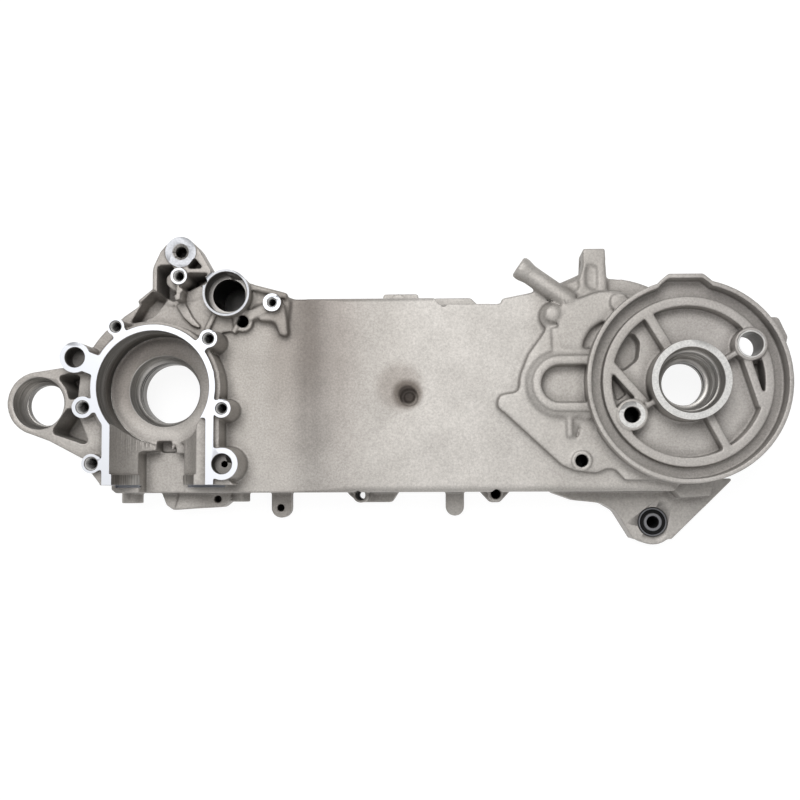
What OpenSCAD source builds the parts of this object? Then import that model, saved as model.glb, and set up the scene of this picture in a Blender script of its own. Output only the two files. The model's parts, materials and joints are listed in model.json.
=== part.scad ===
// Left crankcase half of a small belt-drive scooter engine, a bare aluminium die casting.
// It lies on its belt cover gasket face. The crank axis is vertical, at x = 0 and y = 0, and
// the origin is the mouth of the main bearing seat. Heights are written from the gasket face.

/* [Belt case] */
// Height from the belt cover gasket face to the crankcase joint face
joint_height = 78; // [74:0.5:90]
// Outer height of the belt case wall beside the crank chamber
wall_height = 54; // [50:0.5:56]
// How much higher the wall is towards the rear
wall_rise = 3; // [0:0.5:5]
// Thickness of the cast walls
wall = 4; // [3:0.1:5]
// Outer radius of the front of the case, round the variator
front_radius = 56.4; // [56:0.2:60]
// Distance from the crank axis to the straight lower edge of the case
lower_edge = 68.5; // [66:0.5:75]
// Distance from the crank axis to the straight upper edge of the case
upper_edge = 60.8; // [58:0.2:63]
// Width of the belt cover gasket face
gasket_width = 5.5; // [4.5:0.5:8]
// Height of the gasket flange
flange_height = 9; // [6:1:14]
// Distance from the crank axis to the rear wheel axle, along the case
axle_distance = 346; // [330:1:380]

/* [Crank chamber] */
// Diameter of the crank chamber
chamber_d = 73.2; // [70:0.2:76]
// Depth of the crank chamber below the joint face
chamber_depth = 28; // [24:0.5:30]
// Width of the machined joint face round the chamber
joint_width = 4; // [3:0.2:5]
// Width of the cast ledge outside the joint face
ledge_width = 2.7; // [2:0.1:4]
// Depth of that ledge below the joint face
ledge_drop = 4; // [3:0.5:6]
// Diameter of the main bearing seat
bearing_d = 47; // [40:1:52]
// Depth of the main bearing seat
bearing_depth = 12; // [9:0.5:14]
// Diameter of the crank seal seat
seal_d = 41.6; // [32:0.2:44]
// Depth of the crank seal seat behind the bearing
seal_depth = 15; // [8:0.5:16]
// Bore of the cylinder skirt relief
skirt_d = 55.4; // [50:0.2:58]
// Bore of the cylinder spigot at the cylinder face
spigot_d = 52.2; // [46:0.2:54]
// Distance from the crank axis to the cylinder face
cylinder_face = 63.3; // [60:0.1:66]
// Length of the cylinder spigot bore
spigot_length = 7; // [4:0.5:10]

/* [Hangers] */
// Bore of the front hanger
hanger_bore_d = 33.6; // [30:0.2:36]
// Outer radius of the front hanger
hanger_radius = 20.8; // [19:0.2:23]
// Thickness of the front hanger
hanger_thickness = 21; // [16:1:24]
// Height of the hanger lugs over the gasket face
hanger_height = 70; // [66:0.5:74]
// Bolt hole of the upper lug
upper_hole_d = 7.6; // [6:0.2:10]
// Bore of the starter motor seat
starter_bore_d = 27.4; // [24:0.2:30]
// Height of the starter motor seat over the gasket face
starter_height = 68; // [62:0.5:72]

/* [Brake plate] */
// Outer radius of the brake plate lip
lip_radius = 66; // [64:0.5:70]
// Width of the lip
lip_width = 3; // [2.5:0.1:4]
// Height of the lip over the gasket face
lip_height = 73; // [70:0.5:76]
// Outer radius of the raised ring inside the drum groove
ring_radius = 55.4; // [53:0.2:58]
// Width of that ring
ring_width = 5.8; // [4:0.2:8]
// Height of that ring over the gasket face
ring_height = 68; // [65:0.5:70]
// Height of the bottom of the drum groove
groove_height = 62; // [60:0.5:64]
// Height of the floor between the ribs
plate_height = 58; // [56:0.5:60]
// Outer radius of the axle hub
hub_radius = 25.5; // [24:0.5:28]
// Height of the machined hub face
hub_height = 78; // [75:0.5:82]
// Diameter of the axle seal seat
axle_seal_d = 41.2; // [38:0.2:44]
// Diameter of the axle bearing seat
axle_bearing_d = 35; // [32:0.5:38]
// Diameter of the clear bore behind the bearing
axle_clear_d = 28.6; // [24:0.2:30]
// Hole for the brake shoe anchor pin
anchor_hole_d = 10.4; // [8:0.2:12]
// Hole for the brake cam spindle
cam_hole_d = 15.6; // [12:0.2:16]

/* [Shock absorber lug] */
// Outer diameter of the rubber bush
bush_d = 19.6; // [18:0.2:24]
// Diameter of the rubber
rubber_d = 17.2; // [15:0.2:20]
// Outer diameter of the inner sleeve
inner_d = 12.6; // [11:0.2:14]
// Bolt hole of the inner sleeve
bolt_d = 8.2; // [6:0.2:10]
// Thickness of the lug
lug_thickness = 22; // [18:1:26]
// How far the inner sleeve stands out of each side of the rubber
sleeve_proud = 0.8; // [0:0.2:2]
// Clearance between the bush and its bore
bush_fit = 0.02; // [0:0.01:0.1]

/* [Screw holes] */
// Drill of the joint screw holes
screw_d = 7.2; // [6:0.1:8.2]
// Bore of the locating sleeves
dowel_d = 8.3; // [7:0.1:9]
// Thread drill of the cylinder stud holes
stud_d = 6.8; // [5:0.1:8.5]
// Drill of the belt cover screw holes
cover_screw_d = 5.2; // [4.2:0.1:6.6]

/* [Hidden] */
$fn = 64;
corner_steps = 5;
through = 1;

floor_z = joint_height - chamber_depth;
shoulder_z = floor_z - bearing_depth;
seal_z = shoulder_z - seal_depth;
ledge_z = joint_height - ledge_drop;
rear_height = wall_height + wall_rise;
deck_z = wall_height + 3;
plateau_z = rear_height + 4;
gearbox_face_z = 30;
gearbox_floor_z = plate_height - 7;
gearbox_wall = 5;
pulley_to_axle = 58;
seat_rim = 1.8;
cam_room = 13;
plate_underside = 46;
// the rear end is drawn round this axle distance and moves with the axle
drawn_axle = 346;
gate = [164.9, -6];

axle = [axle_distance, 2.3];
pulley = [axle_distance - pulley_to_axle, 4];
counter = [axle_distance - 32, 2.3];
hanger = [-77.6, -9.4];
upper_lug = [15.6, 89.7];
starter = [45, 63];
shock = [axle_distance - 15.7, -89.7];
anchor = axle + [-36.5, -21.4];
cam = axle + [40.2, 23.8];
gear_end = [drawn_axle - 82.2, 1.9];

// Joint screws: place, hole diameter, boss radius, radius at its foot and height of that foot
joint_screws = [
    [[-24.5, 39.5], screw_d, 5.7, 5.7, 34],
    [[36, 31.2], screw_d, 5.8, 7.5, wall_height - 1],
    [[44.8, -14.1], screw_d, 5.95, 7.7, wall_height - 1],
    [[-39.6, -49.3], dowel_d, 6.3, 6.3, 40],
    [[-45.6, -12.8], dowel_d, 7, 7, 40]
];
inlet_boss = [45.2, -49.8];
blind_boss = [-51, 19.7];

// Points at the corners of an outline, each corner rounded by its own radius
function turn(a, b) = atan2(b.y - a.y, b.x - a.x);
function corner(a, b, c, r) =
    let (u = (a - b) / norm(a - b), v = (c - b) / norm(c - b))
    let (half = acos(max(-1, min(1, u * v))) / 2)
    let (reach = min(r / tan(half), 0.48 * norm(a - b), 0.48 * norm(c - b)))
    let (true_r = reach * tan(half))
    let (m = b + (u + v) / norm(u + v) * true_r / sin(half))
    let (from = turn(m, b + u * reach), to = turn(m, b + v * reach))
    let (sweep = ((to - from + 540) % 360) - 180)
    [for (i = [0 : corner_steps]) m + true_r * [cos(from + sweep * i / corner_steps),
                                                sin(from + sweep * i / corner_steps)]];
function rounded(points, r) =
    [for (i = [0 : len(points) - 1])
        each corner(points[(i + len(points) - 1) % len(points)], points[i],
                    points[(i + 1) % len(points)], is_list(r) ? r[i] : r)];

module layer(from, to) {
    translate([0, 0, from]) linear_extrude(to - from) children();
}

module disc(place, r) {
    translate(place) circle(r);
}

module post(place, r, from, to) {
    translate([place.x, place.y, from]) cylinder(r = r, h = to - from);
}

// Boss with draft: wider at its foot
module drafted_post(place, foot_r, r, from, to) {
    translate([place.x, place.y, from]) cylinder(r1 = foot_r, r2 = r, h = to - from);
}

module at_rear() {
    translate([axle_distance - drawn_axle, 0, 0]) children();
}

// Pocket that narrows softly towards its floor
function shrunk(points, k) =
    let (c = [for (i = [0, 1]) [for (p = points) p[i]] * [for (p = points) 1] / len(points)])
    [for (p = points) c + (p - c) * k];
module sunk_pocket(points, r, top, depth, narrowing) {
    steps = 5;
    for (i = [1 : steps])
        layer(top - depth * sin(90 * i / steps), top + through)
            polygon(rounded(shrunk(points, 1 - narrowing * (1 - cos(90 * (i - 1) / steps))), r));
}

// Outline like a belt round two pulleys
module link(a, ra, b, rb) {
    dir = turn(a, b);
    lean = acos((ra - rb) / norm(b - a));
    polygon([
        for (i = [0 : 20]) let (t = dir + lean + (360 - 2 * lean) * i / 20) a + ra * [cos(t), sin(t)],
        for (i = [0 : 12]) let (t = dir - lean + 2 * lean * i / 12) b + rb * [cos(t), sin(t)]]);
}

module bar(a, b, w) {
    side = [a.y - b.y, b.x - a.x] / norm(b - a) * w / 2;
    polygon([a + side, b + side, b - side, a - side]);
}

module ring(place, outer, inner) {
    difference() {
        disc(place, outer);
        disc(place, inner);
    }
}

// Long belt case: one plan outline, cut by a side profile that rises softly to the rear
function ramp(x) = let (t = max(0, min(1, (x - 86) / 38))) wall_rise * (1 - cos(180 * t)) / 2;
function wall_profile(drop) = [
    [-70, -1], for (x = [-70, for (i = [0 : 8]) 86 + 38 * i / 8, axle_distance + 80])
        [x, wall_height + ramp(x) - drop], [axle_distance + 80, -1]];

rear_lobe = [axle_distance - 50, 6];
rear_end = [axle_distance - 8, 2];

module case_outline(inset) {
    // the brake cam and its lever lie outside the case
    difference() {
        full_case_outline(inset);
        disc(cam, cam_room + inset);
    }
}

module full_case_outline(inset) {
    disc([0, 0], front_radius - inset);
    disc(rear_lobe, 66 - inset);
    disc(rear_end, 60 - inset);
    polygon(rounded([
        [-36 + inset, -lower_edge + inset], [axle_distance - 8, -lower_edge + inset],
        [rear_end.x + 40, -20], rear_lobe, [rear_lobe.x - 14.3 + inset * 0.2, 70.2 - inset],
        [226 + inset, 59.5 - inset], [226 + inset, 56 - inset], [185 - inset, 56 - inset],
        [181 - inset, upper_edge - inset], [88, upper_edge - inset], [76, 65.6 - inset],
        [57, 69.6 - inset], [-7.6 + inset, 69 - inset], [-18.2 + inset, 60.4 - inset * 0.7],
        [-16 + inset, 57.6 - inset * 0.7], [-30.2 + inset * 0.7, 48 - inset * 0.7], [-20, 0]],
        [8 - inset, 4, 10, 1, 20, 3, 1, 2, 2, 8, 8, 8, 3, 2, 2, 6, 4]));
}

module upright(x0, x1) {
    translate([x0, 0, 0]) rotate([90, 0, 90]) linear_extrude(x1 - x0) children();
}

module side_profile(drop) {
    translate([0, 130, 0]) rotate([90, 0, 0]) linear_extrude(260) polygon(wall_profile(drop));
}

module edge_round(x0, x1, edge, side, r) {
    // a strip along X that rounds the outer edge of the wall
    upright(x0, x1)
        polygon([for (i = [0 : corner_steps]) let (a = 90 * i / corner_steps)
                     [side * (edge - r + r * sin(a)), rear_height - r + r * cos(a)],
                 [side * (edge + 3), rear_height - r], [side * (edge + 3), rear_height + 3],
                 [side * (edge - r), rear_height + 3]]);
}

module belt_case() {
    color("Silver") difference() {
        intersection() {
            layer(0, 66) case_outline(0);
            side_profile(0);
        }
        intersection() {
            layer(-through, 66) case_outline(wall);
            side_profile(wall);
        }
        edge_round(60, axle_distance - 10, lower_edge, -1, 4);
        edge_round(96, 181, upper_edge, 1, 3.5);
    }
}

// Gasket flange of the belt cover, with its screw bosses inside and its ears outside
cover_screws = [[-43, -29], [-43, 29], [8, 66], [92, 57], [156, 64], [224, 53],
                axle + [-84, 63.7], [129.4, -70.5], [222.6, -70], [27, -64], axle + [6, 53.7],
                axle + [46, -10], axle + [22, -50.3]];

module gasket_flange() {
    color("Silver") {
        layer(0, flange_height) difference() {
            case_outline(0);
            case_outline(gasket_width);
        }
        intersection() {
            for (p = cover_screws) post(p, 5.2, 0, 26);
            side_profile(0);
        }
        // ears of the lower edge
        layer(0, flange_height) {
            link([71.6, -60], 7, [71.6, -79.3], 7);
            link([194.4, -60], 6.5, [194.4, -78.8], 6.5);
            polygon(rounded([[118, -64], [119, -69.5], [126, -75.6], [150, -75.6], [154, -69.5],
                             [156, -64]], [1, 3, 3, 3, 3, 1]));
            polygon(rounded([[210, -64], [213, -69.5], [219, -76], [226, -76], [232, -69.5],
                             [236, -64]], [1, 3, 4, 4, 3, 1]));
            polygon(rounded([[143, 58], [144.3, 72.4], [169, 72.4], [170.5, 58]], [1, 2, 2, 1]));
        }
        layer(22, 34) polygon(rounded([[180, 52], [181, 64.4], [206, 64.4], [210.5, 60], [212, 52]],
                                      [1, 1, 3, 1, 1]));
    }
}

// Crank chamber housing with its cylinder mouth, joint face and screw bosses
mouth_left = -skirt_d / 2;
mouth_right = 34.6;
pocket_half = 16;

module chamber_outline(grow) {
    disc([0, 0], chamber_d / 2 + joint_width + grow);
    polygon([[mouth_left - joint_width - 1 - grow, 0], [-mouth_left, 30], [39.7 + grow, 10],
             [39.7 + grow, -cylinder_face], [mouth_left - joint_width - 1 - grow, -cylinder_face]]);
}

module crank_housing() {
    color("Silver") {
        // body up to the cast ledge, then the machined joint face on top
        layer(shoulder_z - 5, ledge_z) chamber_outline(ledge_width);
        layer(ledge_z - 1, joint_height) chamber_outline(0);
        for (s = joint_screws) drafted_post(s[0], s[3], s[2], s[4], joint_height);
        post(blind_boss, 10, floor_z - 10, joint_height);
        drafted_post(inlet_boss, 13.6, 10.3, floor_z - 20, joint_height);
        // webs that carry the bosses
        layer(floor_z - 6, joint_height) {
            bar([-36, -12], joint_screws[4][0], 8);
            bar([-34, -49.3], joint_screws[3][0], 9);
            bar([-34, 13], blind_boss, 13);
            bar([36, -11.5], joint_screws[2][0], 8);
            bar([28, 24], joint_screws[1][0], 8.5);
            bar([-20, 32], joint_screws[0][0], 9);
            polygon([[36, -38.9], inlet_boss + [2, 9], inlet_boss + [2, -9], [38, -59]]);
        }
        // low front of the cylinder face
        layer(floor_z - 20, floor_z - 3) polygon([[-37, -50], [-37, -66], [-34, -lower_edge],
                                                  [56, -lower_edge], [56, -50]]);
        // foot of the joint face at the cylinder, on both sides
        layer(ledge_z - 14, ledge_z) polygon([[39, -cylinder_face], [39, -58], [46, -58.6],
                                              [50, -61], [52, -cylinder_face]]);
        layer(ledge_z - 12, ledge_z) polygon([[-42, -54], [-32, -54], [-32, -cylinder_face],
                                              [-34.5, -cylinder_face]]);
        // bearing and seal housing inside the belt case
        post([0, 0], bearing_d / 2 + 7, shoulder_z - 5, floor_z - 6);
        post([0, 0], seal_d / 2 + 4.5, seal_z, floor_z - 6);
        for (a = [30 : 60 : 330]) rotate(a)
            translate([0, 0, shoulder_z + 4]) upright(20, front_radius - wall + 1)
                translate([-1.6, 0]) square([3.2, wall_height - wall - shoulder_z - 3]);
    }
}

module crank_cuts() {
    // chamber, bearing seat and seal seat on the crank axis
    post([0, 0], chamber_d / 2, floor_z, joint_height + through);
    post([0, 0], bearing_d / 2, shoulder_z, floor_z + through);
    post([0, 0], seal_d / 2, seal_z - 2 * through, shoulder_z + through);
    post([0, 0], seal_d / 2 + 0.9, shoulder_z - 4.6, shoulder_z - 3.2);
    // cylinder mouth: skirt relief, narrower spigot, and the rebate on the right
    translate([0, 0, joint_height]) rotate([90, 0, 0]) {
        cylinder(d = skirt_d, h = cylinder_face - spigot_length);
        cylinder(d = spigot_d, h = cylinder_face + 8);
    }
    layer(ledge_z, joint_height + through)
        polygon([[0, -20], [mouth_right, -20], [mouth_right, -cylinder_face - through],
                 [0, -cylinder_face - through]]);
    // transfer passage below the mouth, with its port into the chamber floor
    layer(floor_z - 12, floor_z + 6)
        polygon(rounded([[-pocket_half, -40.8], [-4.5, -39.6], [6.4, -39], [8.1, -34.9], [14.4, -35],
                         [14.6, -cylinder_face - 8], [-pocket_half, -cylinder_face - 8]],
                        [1.5, 1, 0.8, 1, 2, 1, 1]));
    layer(floor_z - 14, floor_z + through)
        polygon(rounded([[-5.2, -41], [5, -41], [5, -33.5], [-5.2, -33.5]], 1));
    // screw and dowel holes of the joint face
    for (s = joint_screws) post(s[0], s[1] / 2, joint_height - 24, joint_height + through);
    post(blind_boss, 6.4, joint_height - 13, joint_height + through);
    post(inlet_boss, 6.45, joint_height - 8, joint_height + through);
    post(inlet_boss, 2.2, joint_height - 36, joint_height);
    // cylinder studs, in the two corners of the cylinder face
    for (x = [-22.5, 31]) translate([x, -lower_edge - 2, floor_z - 9]) rotate([-90, 0, 0])
        cylinder(d = stud_d, h = 24);
}

// Front hanger: an eye on a ribbed web beside the chamber
module front_hanger() {
    color("Silver") {
        post(hanger, hanger_radius, hanger_height - hanger_thickness, hanger_height);
        layer(38, hanger_height)
            polygon([hanger + [-4, 20.4], [-63, 13.8], [-56, 14], [-38, 8], [-34, -20], [-34, -52],
                     [-44, -47], [-49, -45.4], [-70, -34.3], hanger + [-9.4, -18.6],
                     hanger + [12, -8], hanger + [12, 8]]);
    }
}

module front_hanger_cuts() {
    bottom = hanger_height - hanger_thickness;
    post(hanger, hanger_bore_d / 2, hanger_height - 9, hanger_height + through);
    post(hanger, hanger_bore_d / 2 - 1.8, bottom + 5, hanger_height);
    post(hanger, 13.6, 20, hanger_height);
    layer(42, hanger_height + through) {
        polygon(rounded([[-65.5, 8.2], [-56.7, 10.6], [-50.4, 8.4], [-51.8, -6.2], [-57.4, -7.4],
                         [-59.4, 0]], [2, 3, 1, 1.5, 2, 6]));
        polygon(rounded([[-58.4, -12.2], [-54.2, -13.6], [-50.1, -20], [-43.2, -37.8],
                         [-69.6, -29]], [3, 3, 4, 2.5, 3]));
    }
}

// Upper lug with its bolt eye, and the pockets that lighten it
module upper_hanger() {
    color("Silver") {
        // the tip is thin, the foot below it stands on the case wall
        layer(54, hanger_height)
            polygon(rounded([[-3, 60], [-3, 79], [2, 90], [7, 96], [24, 96], [27.6, 91.6],
                             [35.6, 77.6], [36.6, 66], [30.6, 63], [18, 59.5], [7, 56]],
                            [1, 12, 10, 6, 8, 8, 3, 1, 1, 3, 3]));
        layer(36, 55)
            polygon(rounded([[-2.6, 60], [-2.6, 79], [0, 84], [13, 84], [16, 79], [34.4, 78.4],
                             [36, 66], [30.6, 63.4], [18, 60], [7, 56.6]],
                            [1, 3, 3, 3, 2, 2, 1, 1, 3, 3]));
        post(upper_lug, 10, 53, hanger_height + 0.6);
    }
}

module upper_hanger_cuts() {
    post(upper_lug, upper_hole_d / 2, hanger_height - 13.4, hanger_height + 2);
    layer(42, hanger_height + through)
        polygon(rounded([[0, 81], [9.6, 81.4], [12.8, 76], [12.8, 61.6], [7.4, 59.5], [0, 63]],
                        [2.5, 2, 1, 1.5, 2, 1.5]));
    layer(57, hanger_height + through)
        polygon(rounded([[19.4, 78.8], [24.6, 86], [30.4, 78.8]], 1));
    layer(40, hanger_height + through)
        polygon(rounded([[20, 76.2], [33, 75.8], [33.6, 74], [29.2, 73], [25.9, 70.3],
                         [16.6, 66], [13.4, 66.6], [17, 70]], [1, 1.5, 1, 2, 3, 1.5, 1, 2]));
    // beside the starter seat the lug is only as high as the deck
    layer(deck_z + 0.5, hanger_height + through)
        polygon([[15.2, 58], [15.6, 63.2], [30, 67.4], [34.6, 73.5], [39, 77], [39, 64],
                 [31, 61.6]]);
}

module lug_bosses() {
    // small machined bosses beside the lug
    color("Silver") {
        post([14.7, 73.5], 5.4, 40, hanger_height + 1.5);
        post([11.6, 70.4], 5.5, 40, hanger_height - 6);
        layer(40, hanger_height - 2) bar([14.7, 70], [14.7, 58], 2.8);
    }
}

// Gully between the upper left flank and the crank chamber
module flank_cuts() {
    hull() {
        layer(deck_z, deck_z + 4) polygon([[-6.9, 66.6], [-15.9, 58], [-14.4, 55.6], [-17.5, 51.6],
            [-23.6, 45], [-13.4, 46.6], [-6.3, 49], [-1.8, 54], [3.4, 60.6], [2.6, 63]]);
        layer(42, 43) polygon([[-8, 63], [-13.5, 57.5], [-13.4, 54], [-17.5, 49.6],
            [-20, 46.4], [-13.4, 47.6], [-9, 50], [-7.6, 54], [-3, 59], [-3, 61]]);
    }
}

// Starter motor seat with the deck round it
deck = [[4, 60], [14, 61], [30, 64], [40, 74], [56, 70.6], [66.7, 68.4],
        [80.8, 64.8], [86, 60], [84.4, 46], [80.9, 39.7], [77.6, 39.9], [73.5, 45.1], [64, 47],
        [49, 39.4], [37, 38], [30, 34], [0, 38], [-14, 44]];

module starter_deck() {
    color("Silver") {
        layer(34, wall_height - 2) polygon([[-7, 67], [-16, 59], [-14, 56], [-29, 47], [-24, 40],
            [-4, 44], [8, 56], [6, 66]]);
        layer(40, deck_z) polygon([[-7.6, 67], [-16, 60.4], [-12, 55], [-2, 50], [8, 56], [6, 66]]);
        layer(40, deck_z) polygon(rounded(deck, [2, 3, 4, 6, 8, 8, 5, 4, 3, 1, 1, 2, 3, 3, 3, 1, 1, 2]));
        // ribs of the deck
        layer(deck_z - 2, deck_z + 3) {
            bar([37, 54], [30, 39], 3.4);
            bar([75, 56.6], [52, 46], 7);
            bar([84, 62], [58, 69], 4);
            bar([56, 52], [48, 38], 3);
        }
        // soft rib beside the upper lug
        layer(deck_z - 3, deck_z + 2.4) polygon(rounded([[6.5, 63], [12.6, 63], [18, 53.5],
            [20.8, 48.1], [28, 40], [20.8, 42.5], [14.7, 48.1], [10.6, 54.9]],
            [1, 1, 8, 8, 1, 8, 8, 8]));
        layer(deck_z - 4, deck_z + 4) polygon(rounded([
            [77.5, 53.4], [64.8, 48], [65.4, 45.6], [76, 44.8], [79, 36], [85, 34.5], [84, 46],
            [82, 58]], [2, 2, 1, 3, 2, 3, 3, 2]));
    }
}

module starter_seat() {
    color("Silver") {
        post(starter, starter_bore_d / 2 + seat_rim, 20, starter_height);
        post([75, 56.6], 5.9, 30, starter_height - 2);
        post([54.2, 45.2], 6.6, 16, deck_z + 2);
    }
}

module starter_cuts() {
    post(starter, starter_bore_d / 2 + seat_rim + 0.3, starter_height, hanger_height + through);
    post(starter, starter_bore_d / 2, starter_height - 10.5, starter_height + through);
    post(starter, starter_bore_d / 2 - 2.7, 24, starter_height);
    post([75, 56.6], 2.9, 40, starter_height);
    post([54.2, 45.2], 4.1, 19, deck_z + 4);
    post([14.7, 73.5], 3.4, 50, joint_height);
}

// Gear housing beside the brake plate
module gear_housing() {
    color("Silver") at_rear() {
        // plateau on the wall, with its lobe and wavy lower edge
        layer(rear_height - 2, plateau_z) polygon(rounded([
            [237, -3], [224, -5], [222.4, -12.6], [228.7, -17.7], [264.5, -51.1], [273, -54.8],
            [287, -56.6], [294, -53.6], [299, -53.8], [305.6, -61], [drawn_axle, -61],
            [drawn_axle, 40], [256, 40], [252.2, 33.7], [243.5, 21.8], [238, 8]],
            [4, 4, 4, 6, 14, 8, 4, 4, 4, 3, 1, 1, 3, 10, 10, 10]));
        // panel over the gears
        layer(rear_height - 2, plateau_z + 3) polygon(rounded([
            [262.4, 38], [264.6, 53.6], [288, 62], [300, 63], [drawn_axle, 50],
            [drawn_axle, 24.4], [265.8, 24.4]], [4, 5, 14, 8, 1, 1, 3]));
        // raised frame round the bearing boss, on a wide foot
        hull() for (s = [[27, rear_height - 1], [24, rear_height + 1.6], [20.6, plateau_z + 3]])
            for (x = [0, 40]) translate([gear_end.x + x, gear_end.y, s[1] - 0.5])
                cylinder(r = s[0], h = 0.5, $fn = 32);
        layer(rear_height - 2, plateau_z + 5) {
            disc(gear_end, 18.3);
            polygon([gear_end + [0, 18.3], gear_end + [40, 18.3], gear_end + [40, -18.3],
                     gear_end + [0, -18.3]]);
        }
        // screw boss, ball boss, post and the small ribs
        post([277.6, -48.5], 6.7, 26, plateau_z + 1);
        post([259.4, 47.9], 6.6, rear_height - 4, plateau_z + 1);
        post([260.4, 46.8], 9.4, rear_height - 4, plateau_z);
        translate([259.4, 47.9, plateau_z + 1]) rotate_extrude() polygon([
            [0, -1], [6.6, -1], [6.5, 0.7], [5.6, 2], [4.2, 2.9], [2.4, 3.4], [0, 3.4]]);
        post([302.3, 54.7], 5.9, rear_height - 2, plateau_z + 5);
        layer(rear_height - 2, plateau_z + 2) {
            bar([261.8, 39], [262.8, 20], 7);
            bar([269.8, -18], [270, -33], 3.8);
            bar([280, -18], [283, -33.6], 5.4);
        }
    }
}

module gear_housing_cuts() {
    difference() {
        at_rear() {
            layer(rear_height - 1, plateau_z + 8) {
                disc(gear_end, 12.3);
                polygon([gear_end + [0, 12.3], gear_end + [30, 12.3], gear_end + [30, -12.3],
                         gear_end + [0, -12.3]]);
            }
            // crescent in the panel, along the lip
            layer(plateau_z, plateau_z + 4) polygon(rounded([
                [278.6, 24.6], [279.6, 30], [284, 37.5], [294, 43.4], [302, 40], [290, 24.6]],
                [1, 5, 8, 3, 1, 1]));
        }
        post(axle, lip_radius - 0.4, plate_underside, lip_height);
    }
    at_rear() {
        post([277.6, -48.5], 4.2, 30, plateau_z + 4);
        layer(rear_height + 2, plateau_z + 3) polygon([[273.2, -33.6], [276, -24.6], [277.6, -24.6],
                                                       [275.4, -33.6]]);
    }
}

// Brake plate: lip, drum groove, ring, ribs, hub and the two brake bosses
module lip_outline(r) {
    disc(axle, r);
    polygon(rounded([axle + [-25, r - 12], axle + [-18, r - 1], axle + [-12.8, r + 3.2],
                     axle + [9.2, r + 3.2], axle + [14.4, r - 1], axle + [21, r - 12]],
                    [1, 2, 2, 2, 2, 1]));
}

module brake_body() {
    color("Silver") {
        layer(plate_underside, lip_height) lip_outline(lip_radius);
        // lug behind the lip
        layer(plate_underside, 64) polygon(rounded([axle + [44, 30], axle + [51, 42],
            axle + [59.4, 42], axle + [65.4, 29], axle + [63, 20], axle + [50, 16]],
            [1, 2, 3, 4, 3, 1]));
    }
}

// The hollow under the drum, with the deeper pockets of the plate
module brake_space() {
    layer(groove_height, lip_height + 6) lip_outline(lip_radius - lip_width);
    post(axle, ring_radius - ring_width, plate_height, lip_height + 6);
    sunk_pocket(kidney, kidney_r, plate_height, kidney_depth, 0.22);
    for (p = small_pockets) sunk_pocket(p, 1.2, plate_height, 4, 0.1);
}

kidney = [for (p = [[-48, 12.6], [-41, 30], [-34, 34.6], [-29, 27], [-30.4, 15.6], [-41, 7]]) axle + p];
kidney_r = [4, 8, 4, 6, 7, 5];
kidney_depth = 8.6;
small_pockets = [[for (p = [[-48.8, 3.4], [-46.2, 3.6], [-38, -7], [-45, -12]]) axle + p],
                 [for (p = [[42.8, 10.4], [47.6, 13.4], [50.4, -3.4], [48.8, -5]]) axle + p]];

module brake_fittings() {
    color("Silver") {
        layer(plate_height - 4, ring_height) {
            ring(axle, ring_radius, ring_radius - ring_width - 0.4);
            intersection() {
                brake_ribs();
                disc(axle, ring_radius - 1);
            }
        }
        post(axle, hub_radius, plate_underside, hub_height);
        post(anchor, 10.4, plate_height - 6, ring_height + 0.8);
        post(cam, 10.7, plate_height - 6, ring_height + 1.2);
    }
}

module brake_cuts() {
    post(axle, axle_seal_d / 2, hub_height - 9, hub_height + through);
    post(axle, axle_bearing_d / 2 + 1.4, hub_height - 17, hub_height);
    post(axle, axle_bearing_d / 2, hub_height - 26, hub_height);
    post(axle, axle_clear_d / 2, 10, hub_height);
    post(anchor, anchor_hole_d / 2, gearbox_face_z + 9, ring_height + 4);
    post(cam, cam_hole_d / 2, plate_underside - through, ring_height + 4);
}

module brake_ribs() {
    bar(axle + [-10, 18], axle + [-26, 44.5], 6.4);
    bar(axle + [10, -16], axle + [24.6, -43.6], 5.4);
    bar(axle + [-49.6, 11], axle + [-28, -13.4], 5.6);
    bar(cam + [-5.4, 0], axle + [47.6, -16.4], 5.4);
    bar(axle, anchor, 3.4);
    bar(axle, cam, 3.4);
}

// Gearbox on the belt side: a walled space with a machined face and its bearing seats
module gearbox_outline(grow) {
    difference() {
        link(axle, 38 + grow, pulley, 25 + grow);
        disc(cam, cam_room + 5.6 - grow);
    }
}

gearbox_screws = [axle + [21.5, 37.2], axle + [-10, 42], axle + [-50, 33.4], axle + [-86, 11],
                  axle + [-76, -22.4], axle + [-38, -35], axle + [-4, -43], axle + [27, -34],
                  axle + [43, -4]];

module gearbox() {
    color("Silver") {
        layer(gearbox_face_z, rear_height - 1) gearbox_outline(gearbox_wall);
        layer(gearbox_face_z, rear_height - 1) for (p = gearbox_screws) disc(p, 5.6);
    }
}

module gearbox_cuts() {
    difference() {
        layer(gearbox_face_z - through, gearbox_floor_z) gearbox_outline(0);
        for (p = gearbox_screws) post(p, 5.6, gearbox_face_z, rear_height);
        post(axle, 24, gearbox_floor_z - 9, rear_height);
        // the wall under the kidney pocket of the plate
        layer(plate_height - kidney_depth - 3, rear_height) polygon(rounded(shrunk(kidney, 1.1),
                                                                           kidney_r));
        post(anchor, 9, gearbox_face_z + 6, rear_height);
        post(counter, 11.5, gearbox_floor_z - 8, rear_height);
        post(pulley, 20.5, gearbox_floor_z - 9, rear_height);
    }
    post(counter, 8, gearbox_floor_z - 9, gearbox_floor_z + 1);
    post(pulley, 16, gearbox_floor_z - 10, gearbox_floor_z);
    for (p = gearbox_screws) post(p, 2.6, gearbox_face_z - through, gearbox_face_z + 16);
}

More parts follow.
